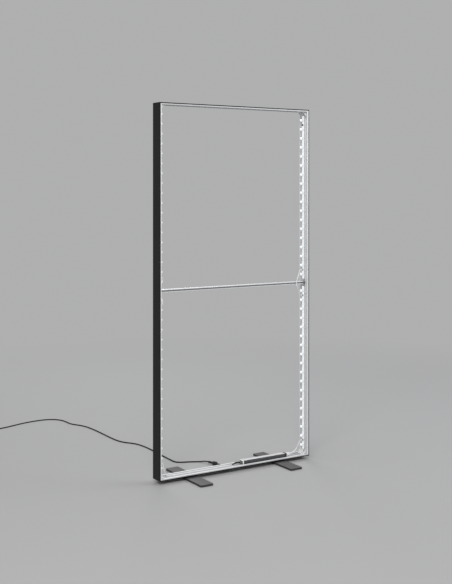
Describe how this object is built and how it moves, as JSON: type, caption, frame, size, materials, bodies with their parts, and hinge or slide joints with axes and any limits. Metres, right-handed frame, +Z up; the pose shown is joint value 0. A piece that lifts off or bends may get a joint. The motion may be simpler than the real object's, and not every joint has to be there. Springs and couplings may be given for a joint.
{
  "type": "double-sided light frame",
  "caption": "Free-standing portable display frame with mitred rails, edge-lit lens bars, a crossbar, a built-in driver with mains cord, and flat swivel feet.",
  "frame": {"origin": "on the floor, below the middle of the frame's bottom rail and between the two feet", "axes": "+Z up along the uprights, +X to the right along the bottom rail as the front is faced, +Y from the front of the frame to its rear, along the feet"},
  "size_m": [1.5153, 1.8806, 2.018],
  "materials": {
    "rail": "satin anodised, near black on the outer faces, natural inside",
    "bracket": "cast, matt",
    "bare_aluminium": "natural anodised, satin",
    "foot_steel": "dark powder coat, matt",
    "fastener_steel": "zinc plated",
    "lens": "clear lenses on a white board, lit cool white",
    "black_plastic": "satin moulded",
    "white_plastic": "smooth, slight gloss",
    "driver_case": "satin silver grey lid, dark grey lower sides",
    "cord_rubber": "matt black"
  },
  "bodies": {
    "frame": {"top_rail": "rail", "bottom_rail": "rail", "left_upright_lower": "rail", "left_upright_upper": "rail", "right_upright_lower": "rail", "right_upright_upper": "rail", "corner_bracket_top_left": "bracket", "corner_bracket_top_right": "bracket", "corner_bracket_bottom_left": "bracket", "corner_bracket_bottom_right": "bracket", "upright_splice_left": "fastener_steel", "upright_splice_right": "fastener_steel", "crossbar": "bare_aluminium", "crossbar_end_left": "black_plastic", "crossbar_end_right": "black_plastic", "led_carrier_left_lower": "bare_aluminium", "led_carrier_left_upper": "bare_aluminium", "led_carrier_right_lower": "bare_aluminium", "led_carrier_right_upper": "bare_aluminium", "led_lens_strip_left_lower": "lens", "led_lens_strip_left_upper": "lens", "led_lens_strip_right_lower": "lens", "led_lens_strip_right_upper": "lens", "led_socket_left_lower_far": "black_plastic", "led_socket_left_lower_near": "black_plastic", "led_socket_left_upper_far": "black_plastic", "led_socket_left_upper_near": "black_plastic", "led_socket_right_lower_far": "black_plastic", "led_socket_right_lower_near": "black_plastic", "led_socket_right_upper_far": "black_plastic", "led_socket_right_upper_near": "black_plastic", "jumper_left": "white_plastic", "jumper_right": "white_plastic", "jumper_plug_left_lower": "white_plastic", "jumper_plug_left_upper": "white_plastic", "jumper_plug_right_lower": "white_plastic", "jumper_plug_right_upper": "white_plastic", "feed_lead_left": "white_plastic", "feed_lead_right": "white_plastic", "feed_plug_left": "white_plastic", "feed_plug_right": "white_plastic", "output_junction": "white_plastic", "driver_case": "driver_case", "driver_cap_left": "white_plastic", "driver_cap_right": "black_plastic", "driver_strap": "white_plastic", "driver_input_lead": "cord_rubber", "coupler_socket": "cord_rubber", "coupler_plug": "cord_rubber", "mains_cord": "cord_rubber", "cord_coil": "cord_rubber", "cord_tie": "black_plastic", "mains_plug": "cord_rubber", "foot_spacer_left": "black_plastic", "foot_spacer_right": "black_plastic", "foot_screw_left": "fastener_steel", "foot_screw_right": "fastener_steel"},
    "foot_left": {"foot_left": "foot_steel"},
    "foot_right": {"foot_right": "foot_steel"}
  },
  "joints": [
    {"name": "foot_left_swivel", "type": "hinge", "parent": "frame", "child": "foot_left", "pos_m": [-0.29, 0, 0], "axis": [0, 0, 1], "range_deg": [-90, 90]},
    {"name": "foot_right_swivel", "type": "hinge", "parent": "frame", "child": "foot_right", "pos_m": [0.29, 0, 0], "axis": [0, 0, 1], "range_deg": [-90, 90]}
  ]
}
